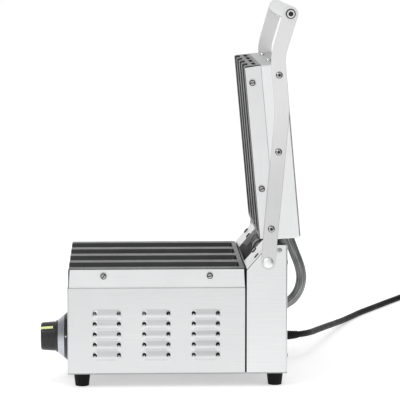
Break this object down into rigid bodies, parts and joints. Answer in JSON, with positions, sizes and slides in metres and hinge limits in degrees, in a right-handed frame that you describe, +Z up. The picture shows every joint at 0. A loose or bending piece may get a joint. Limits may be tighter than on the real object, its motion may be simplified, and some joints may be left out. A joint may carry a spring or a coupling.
{
  "type": "contact grill",
  "caption": "Countertop contact grill: ribbed cast-iron plates in a louvred steel base and in a hinged lid with a bar handle, a temperature knob and a mains lead.",
  "frame": {"origin": "on the floor under the middle of the grill's box with its lid open, the mains lead left out", "axes": "+Z up, +X to the right seen from the knob side, -Y to the front where the knob is"},
  "size_m": [0.8762, 0.6925, 0.504],
  "materials": {
    "stainless": "satin",
    "inner_steel": "plain rolled sheet",
    "cast_iron": "matt, seasoned",
    "bright": "polished",
    "hose": "braided wire",
    "element": "heat-darkened",
    "rubber": "matt",
    "black_plastic": "moulded",
    "silver": "satin",
    "pointer": "moulded",
    "green_lens": "moulded",
    "amber_lens": "moulded",
    "ceramic": "unglazed",
    "brass": "turned",
    "spring_steel": "oiled"
  },
  "bodies": {
    "base": {"side_panel_left": "stainless", "side_panel_right": "stainless", "front_panel": "stainless", "plate_trim_left": "stainless", "plate_trim_right": "stainless", "tower_side_left": "stainless", "tower_side_right": "stainless", "slope_cover_left": "stainless", "slope_cover_right": "stainless", "tower_front_panel": "stainless", "tower_rear_panel": "stainless", "bottom_plate": "inner_steel", "lower_element_clamp": "inner_steel", "heat_shield": "inner_steel", "tray_runner_left": "inner_steel", "tray_runner_right": "inner_steel", "hinge_bracket_left": "inner_steel", "hinge_bracket_right": "inner_steel", "lower_plate": "cast_iron", "wiring_hose": "hose", "lower_element": "element", "foot_front_left": "rubber", "foot_front_right": "rubber", "foot_rear_left": "rubber", "foot_rear_right": "rubber", "strain_relief": "rubber", "mains_lead": "rubber", "lead_coil": "rubber", "mains_plug": "rubber", "hose_gland_tower": "rubber", "dial_ring": "black_plastic", "dial_cone": "silver", "pilot_lamp_power": "green_lens", "pilot_lamp_heating": "amber_lens", "thermostat": "ceramic", "terminal_block": "ceramic", "hinge_bush_left": "brass", "hinge_bush_right": "brass", "lid_spring_left": "spring_steel", "lid_spring_right": "spring_steel"},
    "lid": {"lid_cover": "stainless", "upper_plate": "cast_iron", "lid_trim_left": "stainless", "lid_trim_right": "stainless", "upper_element": "element", "upper_element_clamp": "inner_steel", "lid_insulation": "ceramic", "lid_arm_left": "stainless", "lid_arm_right": "stainless", "handle_bar": "stainless", "handle_screw_left": "bright", "handle_screw_right": "bright", "hinge_shaft": "bright", "pivot_cap_left": "bright", "pivot_cap_right": "bright", "hose_gland_lid": "bright"},
    "knob": {"knob_grip": "black_plastic", "knob_pointer": "pointer", "thermostat_shaft": "brass"},
    "tray": {"drip_tray": "stainless"}
  },
  "joints": [
    {"name": "lid_hinge", "type": "hinge", "parent": "base", "child": "lid", "pos_m": [0, 0.11996, 0.167], "axis": [1, 0, 0], "range_deg": [0, 84.8], "stiffness_Nm_per_rad": 6, "deforming": ["wiring_hose", "lid_spring_left", "lid_spring_right"]},
    {"name": "knob_turn", "type": "hinge", "parent": "base", "child": "knob", "pos_m": [0.087, -0.14474, 0.0609], "axis": [0, 1, 0], "range_deg": [-44, 246]},
    {"name": "tray_slide", "type": "slide", "parent": "base", "child": "tray", "axis": [0, -1, 0], "range_m": [0, 0.115]}
  ]
}
